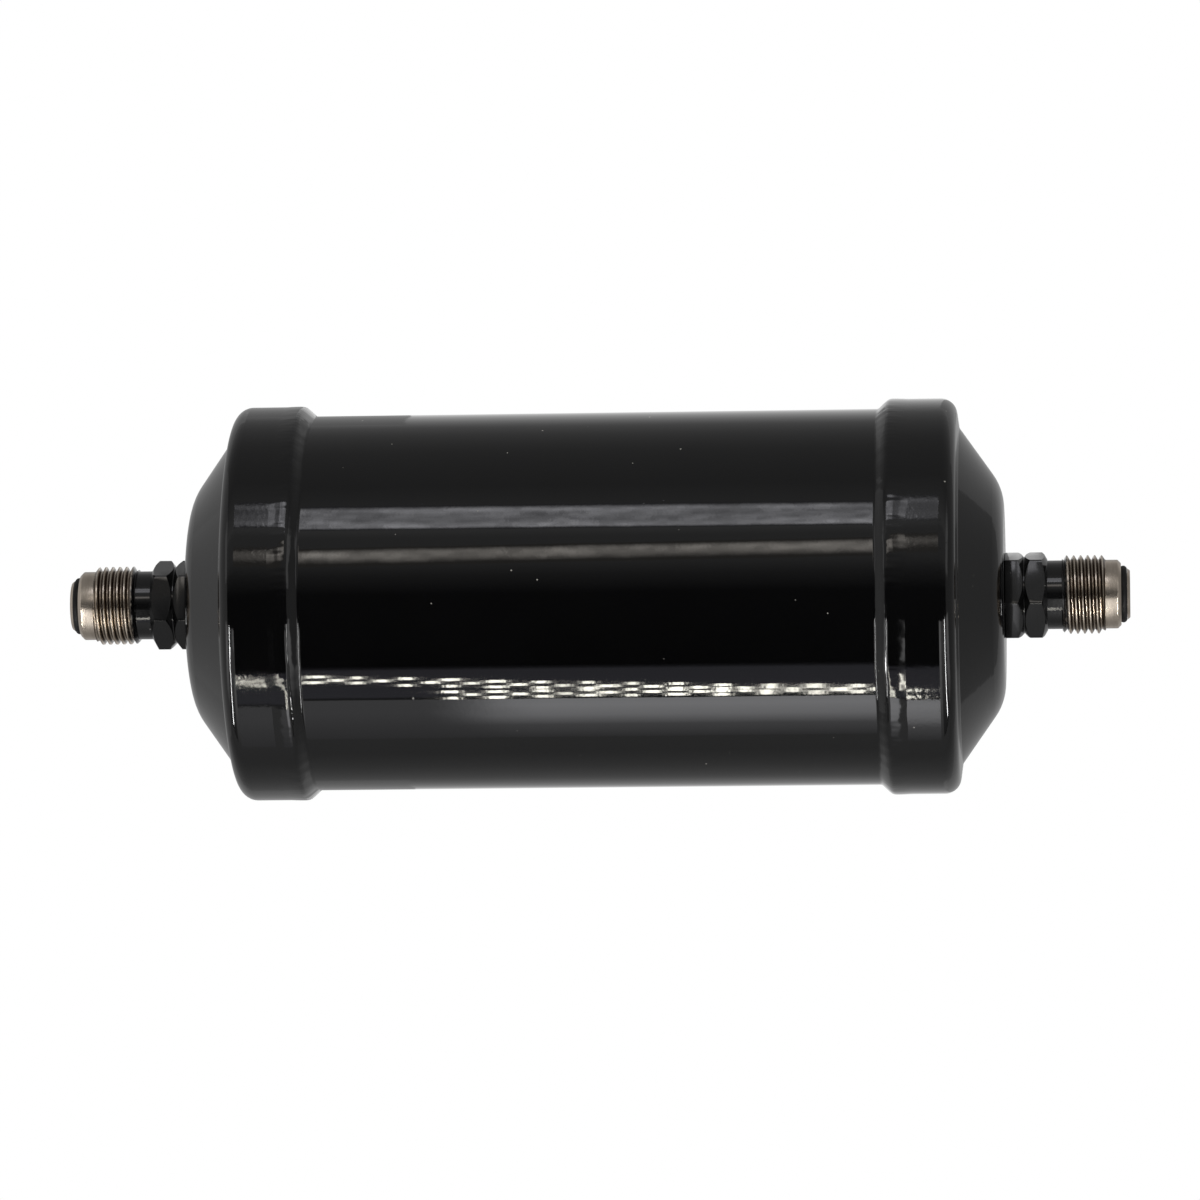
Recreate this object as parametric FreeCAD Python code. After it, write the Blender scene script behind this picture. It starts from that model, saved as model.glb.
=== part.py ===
import FreeCAD, Part

import math
import os

from FreeCAD import Vector

# A refrigerant filter drier: a welded steel can between two threaded fittings, with a bed of
# drying beads held inside by a spring. Sizes are in millimetres. X runs along the can from
# the inlet to the outlet, +Z is up, and the origin is the middle of the can's axis.

# Tube of the can, its edges chamfered by a share of the bend inside the cap so that they clear it
tube_radius = 38.1
tube_wall = 2.0
tube_edge_share = 0.8
least_tube_edge = 0.4

# Deep-drawn end caps, whose skirts slip over the tube
can_length = 164.9
cap_wall = 1.9
skirt_fit = 0.05
skirt_length = 11.8
shoulder_bend = 3.3
shoulder_rise = 0.85
crease_radius = 34.0
crease_bend = 0.8
cone_rise = 8.8
face_radius = 21.5
face_bend = 11.7
tube_end_gap = 0.3

# Fillet welds between the skirts and the tube
weld_reach = 5.2
weld_crown = 0.2
weld_swell = 0.6

# Turned fittings: two hexagons with a groove between them, neck, thread, pilot and nose
hex_across_flats = 16.0
hex_length = 8.6
hex_groove_place = 3.9
hex_groove_radius = 7.76
hex_groove_half_width = 1.25
hex_chamfer_radius = 7.3
hex_chamfer_length = 1.15
neck_radius = 6.95
neck_length = 2.95
thread_radius = 7.9375
thread_length = 8.7
thread_chamfer = 0.6
pilot_radius = 6.95
pilot_length = 3.2
pilot_chamfer = 0.7
nose_radius = 5.2
nose_tip_radius = 4.75
nose_length = 0.6
nose_round = 0.25
bore_radius = 3.5
bore_chamfer = 0.4
spigot_radius = 7.0
spigot_fit = 0.05
spigot_length = 2.6
inlet_hex_turn = -9.6
outlet_hex_turn = -20.3

# O-rings, each sunk into the front of its pilot inside a land and held by the nose's lip
o_ring_section = 1.5
o_ring_fit = 0.03
o_ring_land = 0.47
o_ring_stand = 0.44

# Braze fillets around the spigots inside the caps
braze_leg = 1.5

# Conical spring with ground ends
spring_wire = 2.5
spring_length = 18.0
spring_turns = 3.25
spring_small_radius = 13.0
spring_large_radius = 25.0

# Perforated plates with a turned rim
plate_thickness = 1.5
plate_fit = 0.3
plate_bend = 2.5
inlet_rim_height = 6.0
outlet_rim_height = 5.0
hole_radius = 2.5
hole_pitch = 9.0
hole_field_radius = 31.0

# Screens and pads between the plates and the beads
screen_thickness = 0.6
inlet_pad_thickness = 4.0
outlet_pad_thickness = 9.0
pad_edge = 0.8
bed_fit = 0.1

# Places along the axis that several pieces share
cap_radius = tube_radius + skirt_fit + cap_wall
face_x = can_length / 2
crease_x = face_x - cone_rise
shoulder_x = crease_x - shoulder_rise
skirt_edge_x = shoulder_x - skirt_length
inner_face_x = face_x - cap_wall
shoulder_lean = math.atan2(shoulder_rise, cap_radius - crease_radius)
hex_x = face_x + hex_length
thread_x = hex_x + neck_length
pilot_x = thread_x + thread_length
nose_x = pilot_x + pilot_length
groove_half_width = o_ring_section / 2 + o_ring_fit
o_ring_radius = pilot_radius - pilot_chamfer - o_ring_land - groove_half_width
o_ring_x = nose_x + o_ring_stand
lip_x = o_ring_x + groove_half_width
tip_x = lip_x + nose_length
tube_bore = tube_radius - tube_wall
plate_radius = tube_bore - plate_fit


def inner_shoulder_x(radius):
    """Where the inside of an end cap's leaning shoulder lies at this radius."""
    outside = shoulder_x + (cap_radius - radius) * math.tan(shoulder_lean)
    return outside - cap_wall / math.cos(shoulder_lean)


tube_end_x = inner_shoulder_x(tube_radius) - tube_end_gap
tube_edge = max(tube_edge_share * (shoulder_bend - cap_wall), least_tube_edge)


def bent_edges(corners):
    """Straight edges through (x, radius, bend) corners, joined by a tangent arc at each bend."""
    points = [Vector(x, 0, radius) for x, radius, _ in corners]
    edges = []
    start = points[0]
    for index in range(1, len(points) - 1):
        corner = points[index]
        bend = corners[index][2]
        if bend == 0:
            edges.append(Part.makeLine(start, corner))
            start = corner
            continue
        back = (points[index - 1] - corner).normalize()
        ahead = (points[index + 1] - corner).normalize()
        half_angle = back.getAngle(ahead) / 2
        reach = bend / math.tan(half_angle)
        inset = bend / math.sin(half_angle) - bend
        arc_start = corner + back * reach
        arc_middle = corner + (back + ahead).normalize() * inset
        arc_end = corner + ahead * reach
        edges.append(Part.makeLine(start, arc_start))
        edges.append(Part.Arc(arc_start, arc_middle, arc_end).toShape())
        start = arc_end
    edges.append(Part.makeLine(start, points[-1]))
    return edges


def revolved(profile):
    """One solid made by turning a face around the can's axis."""
    return profile.revolve(Vector(0, 0, 0), Vector(1, 0, 0), 360)


def turned(corners):
    """A turned solid whose closed half section runs through (x, radius, bend) corners."""
    closed = corners + [corners[0][:2] + (0,)]
    return revolved(Part.Face(Part.Wire(bent_edges(closed))))


def sheet(corners, wall):
    """A drawn or folded sheet: the outline's outside with a constant wall behind it."""
    outline = Part.Wire(bent_edges(corners))
    return revolved(outline.makeOffset2D(-wall, 0, True, True, False))


def disc(x, thickness, radius, edge=0):
    """A round disc between x and x + thickness, its two rims rounded by edge."""
    return turned([(x, 0, 0), (x, radius, edge), (x + thickness, radius, edge), (x + thickness, 0, 0)])


def at_inlet(shape):
    """The same piece at the other end of the can."""
    return shape.mirror(Vector(0, 0, 0), Vector(1, 0, 0))


def shell_tube():
    return turned([
        (-tube_end_x, tube_bore, 0),
        (-tube_end_x, tube_radius - tube_edge, 0),
        (-tube_end_x + tube_edge, tube_radius, 0),
        (tube_end_x - tube_edge, tube_radius, 0),
        (tube_end_x, tube_radius - tube_edge, 0),
        (tube_end_x, tube_bore, 0),
    ])


def end_cap():
    return sheet([
        (skirt_edge_x, cap_radius, 0),
        (shoulder_x, cap_radius, shoulder_bend),
        (crease_x, crease_radius, crease_bend),
        (face_x, face_radius, face_bend),
        (face_x, spigot_radius + spigot_fit, 0),
    ], cap_wall)


def weld_bead():
    root_top = Vector(skirt_edge_x, 0, cap_radius + weld_crown)
    root_foot = Vector(skirt_edge_x, 0, tube_radius)
    toe = Vector(skirt_edge_x - weld_reach, 0, tube_radius)
    outwards = Vector(toe.z - root_top.z, 0, root_top.x - toe.x).normalize()
    swell = (root_top + toe) / 2 + outwards * weld_swell
    edges = [
        Part.Arc(root_top, swell, toe).toShape(),
        Part.makeLine(toe, root_foot),
        Part.makeLine(root_foot, root_top),
    ]
    return revolved(Part.Face(Part.Wire(edges)))


def hexagon_bar(turn):
    """The hexagonal bar, its groove and chamfers turned, with one corner at this angle from +Z."""
    corner_radius = hex_across_flats / 2 / math.cos(math.pi / 6)
    corners = []
    for index in range(7):
        angle = math.radians(turn + 60 * index)
        corners.append(Vector(face_x, -corner_radius * math.sin(angle), corner_radius * math.cos(angle)))
    bar = Part.Face(Part.makePolygon(corners)).extrude(Vector(hex_length, 0, 0))
    groove_x = face_x + hex_groove_place
    envelope = turned([
        (face_x, 0, 0),
        (face_x, corner_radius, 0),
        (groove_x - hex_groove_half_width, corner_radius, 0),
        (groove_x, hex_groove_radius, 0),
        (groove_x + hex_groove_half_width, corner_radius, 0),
        (hex_x - hex_chamfer_length, corner_radius, 0),
        (hex_x, hex_chamfer_radius, 0),
        (hex_x, 0, 0),
    ])
    return bar.common(envelope)


def fitting_stem():
    """Neck, thread blank, pilot, O-ring groove and tapered nose, with the spigot behind the hexagons."""
    groove_floor = o_ring_radius - groove_half_width
    groove_wall = o_ring_radius + groove_half_width
    return turned([
        (inner_face_x - spigot_length, bore_radius, 0),
        (inner_face_x - spigot_length, spigot_radius, 0),
        (face_x, spigot_radius, 0),
        (face_x, neck_radius, 0),
        (thread_x, neck_radius, 0),
        (thread_x, thread_radius - thread_chamfer, 0),
        (thread_x + thread_chamfer, thread_radius, 0),
        (pilot_x - thread_chamfer, thread_radius, 0),
        (pilot_x, thread_radius - thread_chamfer, 0),
        (pilot_x, pilot_radius, 0),
        (nose_x - pilot_chamfer, pilot_radius, 0),
        (nose_x, pilot_radius - pilot_chamfer, 0),
        (nose_x, groove_wall, 0),
        (o_ring_x - groove_half_width, groove_wall, 0),
        (o_ring_x - groove_half_width, groove_floor, 0),
        (lip_x, groove_floor, 0),
        (lip_x, nose_radius, 0),
        (tip_x, nose_tip_radius, nose_round),
        (tip_x, bore_radius + bore_chamfer, 0),
        (tip_x - bore_chamfer, bore_radius, 0),
    ])


def fitting(turn):
    bore = Part.makeCylinder(bore_radius, tip_x, Vector(0, 0, 0), Vector(1, 0, 0))
    return hexagon_bar(turn).cut(bore).fuse(fitting_stem()).removeSplitter()


def o_ring():
    return Part.makeTorus(o_ring_radius, o_ring_section / 2, Vector(o_ring_x, 0, 0), Vector(1, 0, 0))


def braze_ring():
    """A hollow fillet in the corner between the cap's inside and the spigot."""
    foot = Vector(inner_face_x, 0, spigot_radius)
    on_cap = foot + Vector(0, 0, braze_leg)
    on_spigot = foot - Vector(braze_leg, 0, 0)
    hollow = foot + Vector(-1, 0, 1) * (braze_leg * (1 - math.sqrt(0.5)))
    edges = [
        Part.makeLine(foot, on_cap),
        Part.Arc(on_cap, hollow, on_spigot).toShape(),
        Part.makeLine(on_spigot, foot),
    ]
    return revolved(Part.Face(Part.Wire(edges)))


def conical_spring(small_end_x):
    """Wire wound on a cone from the cap's inside to the plate, ground flat at both ends."""
    spread = spring_large_radius - spring_small_radius
    slant = math.hypot(spread, spring_length)
    cone_angle = math.degrees(math.atan2(spread, spring_length))
    coil = Part.makeHelix(slant / spring_turns, slant, spring_small_radius, cone_angle)
    climb = Vector(spread, 2 * math.pi * spring_small_radius * spring_turns, spring_length)
    section = Part.makeCircle(spring_wire / 2, Vector(spring_small_radius, 0, 0), climb)
    wire = Part.Wire(coil.Edges).makePipeShell([Part.Wire(section)], True, True)
    between_ground_ends = Part.makeCylinder(spring_large_radius + 2 * spring_wire, spring_length)
    spring = wire.common(between_ground_ends)
    spring.rotate(Vector(0, 0, 0), Vector(0, 1, 0), 90)
    spring.translate(Vector(small_end_x, 0, 0))
    return spring.Solids[0]


def hole_centres():
    """A field of holes in rows, each row half a pitch aside from the next."""
    row_step = hole_pitch * math.sqrt(3) / 2
    rows = int(hole_field_radius / row_step) + 1
    columns = int(hole_field_radius / hole_pitch) + 1
    centres = []
    for row in range(-rows, rows + 1):
        for column in range(-columns, columns + 1):
            across = (column + 0.5 * (row % 2)) * hole_pitch
            up = row * row_step
            if math.hypot(across, up) + hole_radius <= hole_field_radius:
                centres.append((across, up))
    return centres


def perforated_plate(disc_x, rim_x):
    """A plate with its outside face at disc_x and its rim turned back to rim_x."""
    towards = 1 if disc_x > rim_x else -1
    plate = sheet([
        (rim_x * towards, plate_radius, 0),
        (disc_x * towards, plate_radius, plate_bend),
        (disc_x * towards, 0, 0),
    ], plate_thickness)
    if towards < 0:
        plate = at_inlet(plate)
    drills = []
    for across, up in hole_centres():
        start = Vector(min(disc_x, rim_x) - plate_thickness, across, up)
        reach = abs(disc_x - rim_x) + 2 * plate_thickness
        drills.append(Part.makeCylinder(hole_radius, reach, start, Vector(1, 0, 0)))
    return plate.cut(Part.makeCompound(drills))


# The stack of inner pieces, from the inlet cap's inside to the outlet cap's shoulder
spring_seat_x = -inner_face_x
inlet_plate_x = spring_seat_x + spring_length + plate_thickness
inlet_screen_x = inlet_plate_x
inlet_pad_x = inlet_screen_x + screen_thickness
bed_start_x = inlet_pad_x + inlet_pad_thickness
outlet_ledge_x = inner_shoulder_x(plate_radius)
outlet_plate_x = outlet_ledge_x - outlet_rim_height
outlet_screen_x = outlet_plate_x - screen_thickness
outlet_pad_x = outlet_screen_x - outlet_pad_thickness
bed_radius = tube_bore - bed_fit

pieces = {
    "shell_tube": shell_tube(),
    "outlet_end_cap": end_cap(),
    "inlet_end_cap": at_inlet(end_cap()),
    "outlet_weld_bead": weld_bead(),
    "inlet_weld_bead": at_inlet(weld_bead()),
    "outlet_fitting": fitting(outlet_hex_turn),
    "inlet_fitting": at_inlet(fitting(inlet_hex_turn)),
    "outlet_o_ring": o_ring(),
    "inlet_o_ring": at_inlet(o_ring()),
    "outlet_braze_ring": braze_ring(),
    "inlet_braze_ring": at_inlet(braze_ring()),
    "compression_spring": conical_spring(spring_seat_x),
    "inlet_pressure_plate": perforated_plate(inlet_plate_x, inlet_plate_x - inlet_rim_height),
    "inlet_mesh_screen": disc(inlet_screen_x, screen_thickness, plate_radius),
    "inlet_felt_pad": disc(inlet_pad_x, inlet_pad_thickness, bed_radius, pad_edge),
    "desiccant_bed": disc(bed_start_x, outlet_pad_x - bed_start_x, bed_radius, pad_edge),
    "outlet_felt_pad": disc(outlet_pad_x, outlet_pad_thickness, bed_radius, pad_edge),
    "outlet_mesh_screen": disc(outlet_screen_x, screen_thickness, plate_radius),
    "outlet_support_plate": perforated_plate(outlet_plate_x, outlet_ledge_x),
}

os.makedirs("parts", exist_ok=True)
for node, shape in pieces.items():
    shape.exportStep("parts/" + node + ".step")
    print(node, "volume", round(shape.Volume, 1), "solids", len(shape.Solids), "valid", shape.isValid())
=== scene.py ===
import math

import bpy
from mathutils import Matrix, Vector, noise


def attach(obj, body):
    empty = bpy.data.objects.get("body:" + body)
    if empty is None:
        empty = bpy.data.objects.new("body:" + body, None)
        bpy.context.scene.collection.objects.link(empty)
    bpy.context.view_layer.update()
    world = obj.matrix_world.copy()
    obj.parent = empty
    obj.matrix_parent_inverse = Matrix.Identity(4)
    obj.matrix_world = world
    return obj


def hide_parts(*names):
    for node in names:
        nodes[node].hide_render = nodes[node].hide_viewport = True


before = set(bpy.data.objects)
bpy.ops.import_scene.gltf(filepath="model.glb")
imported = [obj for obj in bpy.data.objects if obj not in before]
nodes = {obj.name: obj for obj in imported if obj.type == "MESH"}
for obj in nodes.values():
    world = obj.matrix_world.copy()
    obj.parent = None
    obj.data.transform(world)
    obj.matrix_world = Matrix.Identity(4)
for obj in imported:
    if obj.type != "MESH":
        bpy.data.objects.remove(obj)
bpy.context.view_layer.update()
print("frame loaded,", len(nodes), "CAD nodes")

mm = 0.001
ends = {"inlet": -1, "outlet": 1}   # which way along X each end of the can lies

# Camera

view = {
    "turn": math.radians(4.1),      # towards the outlet
    "distance": 1.444,
    "lens": 213.1,
    "sensor": 36,
    "roll": math.radians(-0.67),    # the outlet end stands a little higher in the picture
    "pictureSize": 1200,
    "canMiddle": (598.9, 600.1),    # pixel of the can's middle
}


def placeCamera():
    x = view["distance"] * math.sin(view["turn"])
    y = -view["distance"] * math.cos(view["turn"])
    bpy.ops.object.camera_add(location=(x, y, 0), rotation=(math.radians(90), 0, view["turn"]))
    camera = bpy.context.object
    camera.name = "photoCamera"
    camera.matrix_world = camera.matrix_world @ Matrix.Rotation(view["roll"], 4, "Z")
    camera.data.lens = view["lens"]
    camera.data.sensor_width = view["sensor"]
    half = view["pictureSize"] / 2
    camera.data.shift_x = (half - view["canMiddle"][0]) / view["pictureSize"]
    camera.data.shift_y = (view["canMiddle"][1] - half) / view["pictureSize"]
    camera.data.clip_start = 0.05
    camera.data.clip_end = 30
    bpy.context.scene.camera = camera
    print("camera placed")


# Modelling helpers


def deselectAll():
    if bpy.context.object and bpy.context.object.mode != "OBJECT":
        bpy.ops.object.mode_set(mode="OBJECT")
    bpy.ops.object.select_all(action="DESELECT")


def makeActive(piece):
    deselectAll()
    piece.select_set(True)
    bpy.context.view_layer.objects.active = piece


def applyPlace(piece):
    makeActive(piece)
    bpy.ops.object.transform_apply(location=True, rotation=True, scale=True)


def traceOutline(name, points):
    # one vertex, extruded along the (x, radius) points in millimetres in the plane above the axis
    deselectAll()
    start = Vector((points[0][0], 0, points[0][1])) * mm
    bpy.ops.mesh.primitive_plane_add(size=0.001, location=start)
    outline = bpy.context.object
    outline.name = name
    applyPlace(outline)
    bpy.ops.object.mode_set(mode="EDIT")
    bpy.ops.mesh.select_all(action="SELECT")
    bpy.ops.mesh.merge(type="CENTER")
    for before, after in zip(points, points[1:]):
        step = Vector((after[0] - before[0], 0, after[1] - before[1])) * mm
        bpy.ops.mesh.extrude_region_move(TRANSFORM_OT_translate={"value": step})
    bpy.ops.object.mode_set(mode="OBJECT")
    return outline


def spinRound(outline, steps):
    makeActive(outline)
    bpy.ops.object.mode_set(mode="EDIT")
    bpy.ops.mesh.select_all(action="SELECT")
    bpy.ops.mesh.spin(steps=steps, angle=math.tau, center=(0, 0, 0), axis=(1, 0, 0))
    bpy.ops.mesh.select_all(action="SELECT")
    bpy.ops.mesh.remove_doubles(threshold=0.000002)
    bpy.ops.mesh.normals_make_consistent(inside=False)
    bpy.ops.object.mode_set(mode="OBJECT")
    return outline


def roundCorner(before, corner, after, radius, steps):
    # points of the arc that rounds one corner of an outline
    corner = Vector(corner)
    back = (Vector(before) - corner).normalized()
    ahead = (Vector(after) - corner).normalized()
    half = back.angle(ahead) / 2
    middle = corner + (back + ahead).normalized() * (radius / math.sin(half))
    first = corner + back * (radius / math.tan(half)) - middle
    last = corner + ahead * (radius / math.tan(half)) - middle
    return [tuple(middle + first.slerp(last, step / steps) * radius) for step in range(steps + 1)]


def applyModifier(piece, kind, **settings):
    makeActive(piece)
    modifier = piece.modifiers.new(kind.title(), kind)
    for key, value in settings.items():
        setattr(modifier, key, value)
    bpy.ops.object.modifier_apply(modifier=modifier.name)


def combine(piece, other, operation):
    applyModifier(piece, "BOOLEAN", object=other, operation=operation, solver="EXACT")
    bpy.data.objects.remove(other)


def smoothByAngle(piece, degrees):
    makeActive(piece)
    bpy.ops.object.shade_smooth_by_angle(angle=math.radians(degrees))


# Material helpers

noiseSpan = (0.3, 0.7)   # most values of a noise lie between these


def newMaterial(name):
    material = bpy.data.materials.new(name)
    material.use_nodes = True
    return material, material.node_tree, material.node_tree.nodes["Principled BSDF"]


def addNode(tree, kind, **settings):
    node = tree.nodes.new(kind)
    for key, value in settings.items():
        setattr(node, key, value)
    return node


def connect(tree, *pairs):
    for source, target in pairs:
        tree.links.new(source, target)


def calculate(tree, operation, *values, clamp=False):
    # a Math node whose inputs are sockets or numbers
    node = addNode(tree, "ShaderNodeMath", operation=operation, use_clamp=clamp)
    for index, value in enumerate(values):
        if isinstance(value, bpy.types.NodeSocket):
            tree.links.new(value, node.inputs[index])
        else:
            node.inputs[index].default_value = value
    return node.outputs[0]


def remap(tree, value, fromLow, fromHigh, toLow, toHigh):
    # a smooth step from one range to another
    node = addNode(tree, "ShaderNodeMapRange", interpolation_type="SMOOTHSTEP")
    tree.links.new(value, node.inputs["Value"])
    limits = {"From Min": fromLow, "From Max": fromHigh, "To Min": toLow, "To Max": toHigh}
    for key, number in limits.items():
        node.inputs[key].default_value = number
    return node.outputs["Result"]


def mixColour(tree, factor, first, second):
    node = addNode(tree, "ShaderNodeMix", data_type="RGBA")
    for index, value in ((0, factor), (6, first), (7, second)):
        if isinstance(value, bpy.types.NodeSocket):
            tree.links.new(value, node.inputs[index])
        else:
            node.inputs[index].default_value = value
    return node.outputs[2]


def noiseValue(tree, vector, scale, detail=2, roughness=0.5):
    node = addNode(tree, "ShaderNodeTexNoise")
    node.inputs["Scale"].default_value = scale
    node.inputs["Detail"].default_value = detail
    node.inputs["Roughness"].default_value = roughness
    tree.links.new(vector, node.inputs["Vector"])
    return node.outputs["Fac"]


def stretched(tree, vector, scale):
    node = addNode(tree, "ShaderNodeMapping")
    node.inputs["Scale"].default_value = scale
    tree.links.new(vector, node.inputs["Vector"])
    return node.outputs["Vector"]


def bumpNormal(tree, height, distance):
    node = addNode(tree, "ShaderNodeBump")
    node.inputs["Distance"].default_value = distance
    tree.links.new(height, node.inputs["Height"])
    return node.outputs["Normal"]


def newGroup(name, inputs, outputs):
    group = bpy.data.node_groups.new(name, "ShaderNodeTree")
    for key, kind, default in inputs:
        socket = group.interface.new_socket(key, in_out="INPUT", socket_type=kind)
        if default is not None:
            socket.default_value = default
    for key, kind in outputs:
        group.interface.new_socket(key, in_out="OUTPUT", socket_type=kind)
    return group, group.nodes.new("NodeGroupInput"), group.nodes.new("NodeGroupOutput")


def useGroup(tree, group, **values):
    node = addNode(tree, "ShaderNodeGroup", node_tree=group)
    for key, value in values.items():
        if isinstance(value, bpy.types.NodeSocket):
            tree.links.new(value, node.inputs[key])
        else:
            node.inputs[key].default_value = value
    return node


# Sprayed paint: orange peel, broad ripple and dust nibs as one height, and pale dust

skinLook = {
    "peelScale": 1250,
    "rippleScale": 150,
    "cloudScale": 45,
    # nibs sit in the cells of a pattern: how fine it is, the share without a nib, and their sizes
    "nibCells": 430,
    "nibFrom": 0.6,
    "nibSizes": (0.3, 1, 0.035, 0.11),
    "paleFrom": 0.62,
    "dustGain": 1.8,
}


def sprayedSkinGroup():
    group, given, result = newGroup(
        "sprayedSkin",
        [
            ("Vector", "NodeSocketVector", None),
            ("Peel", "NodeSocketFloat", 1),      # orange peel, in micrometres
            ("Ripple", "NodeSocketFloat", 1),    # broad waviness, in micrometres
            ("Nibs", "NodeSocketFloat", 1),      # dust under the paint, in micrometres
        ],
        [("Height", "NodeSocketFloat"), ("Dust", "NodeSocketFloat"), ("Cloud", "NodeSocketFloat")],
    )
    look = skinLook
    place = given.outputs["Vector"]
    peel = noiseValue(group, place, look["peelScale"], 1.5)
    ripple = noiseValue(group, stretched(group, place, (0.5, 1, 1)), look["rippleScale"], 1)
    spots = addNode(group, "ShaderNodeTexVoronoi", feature="F1")
    spots.inputs["Scale"].default_value = look["nibCells"]
    group.links.new(place, spots.inputs["Vector"])
    chosen = addNode(group, "ShaderNodeSeparateColor")
    group.links.new(spots.outputs["Color"], chosen.inputs["Color"])
    rare = calculate(group, "GREATER_THAN", chosen.outputs["Red"], look["nibFrom"])
    sizeOf = remap(group, chosen.outputs["Green"], *look["nibSizes"])
    near = calculate(group, "SUBTRACT", sizeOf, spots.outputs["Distance"])
    nib = calculate(group, "MULTIPLY", calculate(group, "DIVIDE", near, sizeOf, clamp=True), rare)
    heightA = calculate(group, "MULTIPLY", peel, given.outputs["Peel"])
    heightB = calculate(group, "MULTIPLY", ripple, given.outputs["Ripple"])
    heightC = calculate(group, "MULTIPLY", nib, given.outputs["Nibs"])
    height = calculate(group, "ADD", calculate(group, "ADD", heightA, heightB), heightC)
    pale = calculate(group, "GREATER_THAN", chosen.outputs["Blue"], look["paleFrom"])
    paleNib = calculate(group, "MULTIPLY", nib, pale)
    dust = calculate(group, "MULTIPLY", paleNib, look["dustGain"], clamp=True)
    connect(
        group,
        (height, result.inputs["Height"]),
        (dust, result.inputs["Dust"]),
        (noiseValue(group, place, look["cloudScale"], 3), result.inputs["Cloud"]),
    )
    return group


def turnedMarksGroup():
    # fine rings around the X axis, as a lathe tool leaves them, and long soft variation
    group, given, result = newGroup(
        "turnedMarks",
        [("Vector", "NodeSocketVector", None), ("Fineness", "NodeSocketFloat", 9000)],
        [("Rings", "NodeSocketFloat"), ("Tone", "NodeSocketFloat")],
    )
    place = given.outputs["Vector"]
    rings = addNode(group, "ShaderNodeTexNoise")
    rings.inputs["Detail"].default_value = 2
    group.links.new(stretched(group, place, (1, 0.012, 0.012)), rings.inputs["Vector"])
    group.links.new(given.outputs["Fineness"], rings.inputs["Scale"])
    tone = noiseValue(group, stretched(group, place, (1, 0.25, 0.25)), 900, 3)
    connect(group, (rings.outputs["Fac"], result.inputs["Rings"]), (tone, result.inputs["Tone"]))
    return group


sprayedSkin = sprayedSkinGroup()
turnedMarks = turnedMarksGroup()


def objectPlace(tree):
    return addNode(tree, "ShaderNodeTexCoord").outputs["Object"]


def glossBlackPaint(name, peel, ripple, nibs, roughness):
    material, tree, shader = newMaterial(name)
    skin = useGroup(tree, sprayedSkin, Vector=objectPlace(tree), Peel=peel, Ripple=ripple, Nibs=nibs)
    black = mixColour(tree, skin.outputs["Cloud"], (0.0006, 0.0006, 0.0007, 1), (0.0016, 0.0016, 0.0018, 1))
    dusty = mixColour(tree, skin.outputs["Dust"], black, (0.3, 0.29, 0.26, 1))
    rough = remap(tree, skin.outputs["Cloud"], *noiseSpan, roughness * 0.85, roughness * 1.25)
    connect(
        tree,
        (dusty, shader.inputs["Base Color"]),
        (rough, shader.inputs["Roughness"]),
        (bumpNormal(tree, skin.outputs["Height"], 0.000001), shader.inputs["Normal"]),
    )
    shader.inputs["IOR"].default_value = 1.5
    return material


# Fittings: bronze-grey turned steel, sprayed black from the can as far as the first threads

fitting = {
    "hexStart": 82.45,
    "hexLength": 8.6,
    "acrossFlats": 16.0,
    "edgeRound": 0.22,
    "groovePlace": 3.9,
    "grooveHalfWidth": 1.25,
    "grooveRadius": 7.76,
    "grooveFlat": 0.08,    # half of the floor, which stands a little over the groove's radius
    "grooveFill": 0.03,
    "chamferLength": 1.15,
    "chamferRadius": 7.3,
    "chamferFlat": 0.12,   # the softened foot of the chamfer, along and across
    "chamferSoft": 0.1,
    "spigotStart": 77.95,
    "spigotRadius": 7.0,
    "spigotChamfer": 0.2,
    "neckFrom": 0.5,       # inside the hexagons, where the spigot steps down to the neck
    "neckRadius": 6.95,
    "threadStart": 94.0,
    "threadEnd": 102.7,
    "threadRadius": 7.93,
    "threadRoot": 7.08,
    "threadPitch": 25.4 / 18,
    "threadLead": 1.4,     # turns before the start, which the flat cut takes off
    "rootSag": 0.03,
    "threadTurn": {"inlet": math.radians(110), "outlet": math.radians(180)},
    "threadChamfer": 0.65,
    "crestShare": 0.17,
    "rootShare": 0.12,
    "pilotEnd": 105.9,
    "pilotRadius": 6.95,
    "pilotChamfer": 0.7,
    "softEdge": 0.05,
    "seam": 0.02,          # keeps neighbouring faces of two joined forms apart
    "ringPlace": 106.34,
    "ringGrooveHalfWidth": 0.78,
    "grooveWall": 5.78,
    "grooveFloor": 4.22,
    "lipRadius": 5.2,
    "lipTipRadius": 4.75,
    "lipRound": 0.25,
    "tip": 107.71,
    "boreRadius": 3.5,
    "boreChamfer": 0.4,
    "boreBack": 77.0,
    "turn": {"inlet": math.radians(-9.6), "outlet": math.radians(-20.3)},
    "steps": 96,
}


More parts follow.
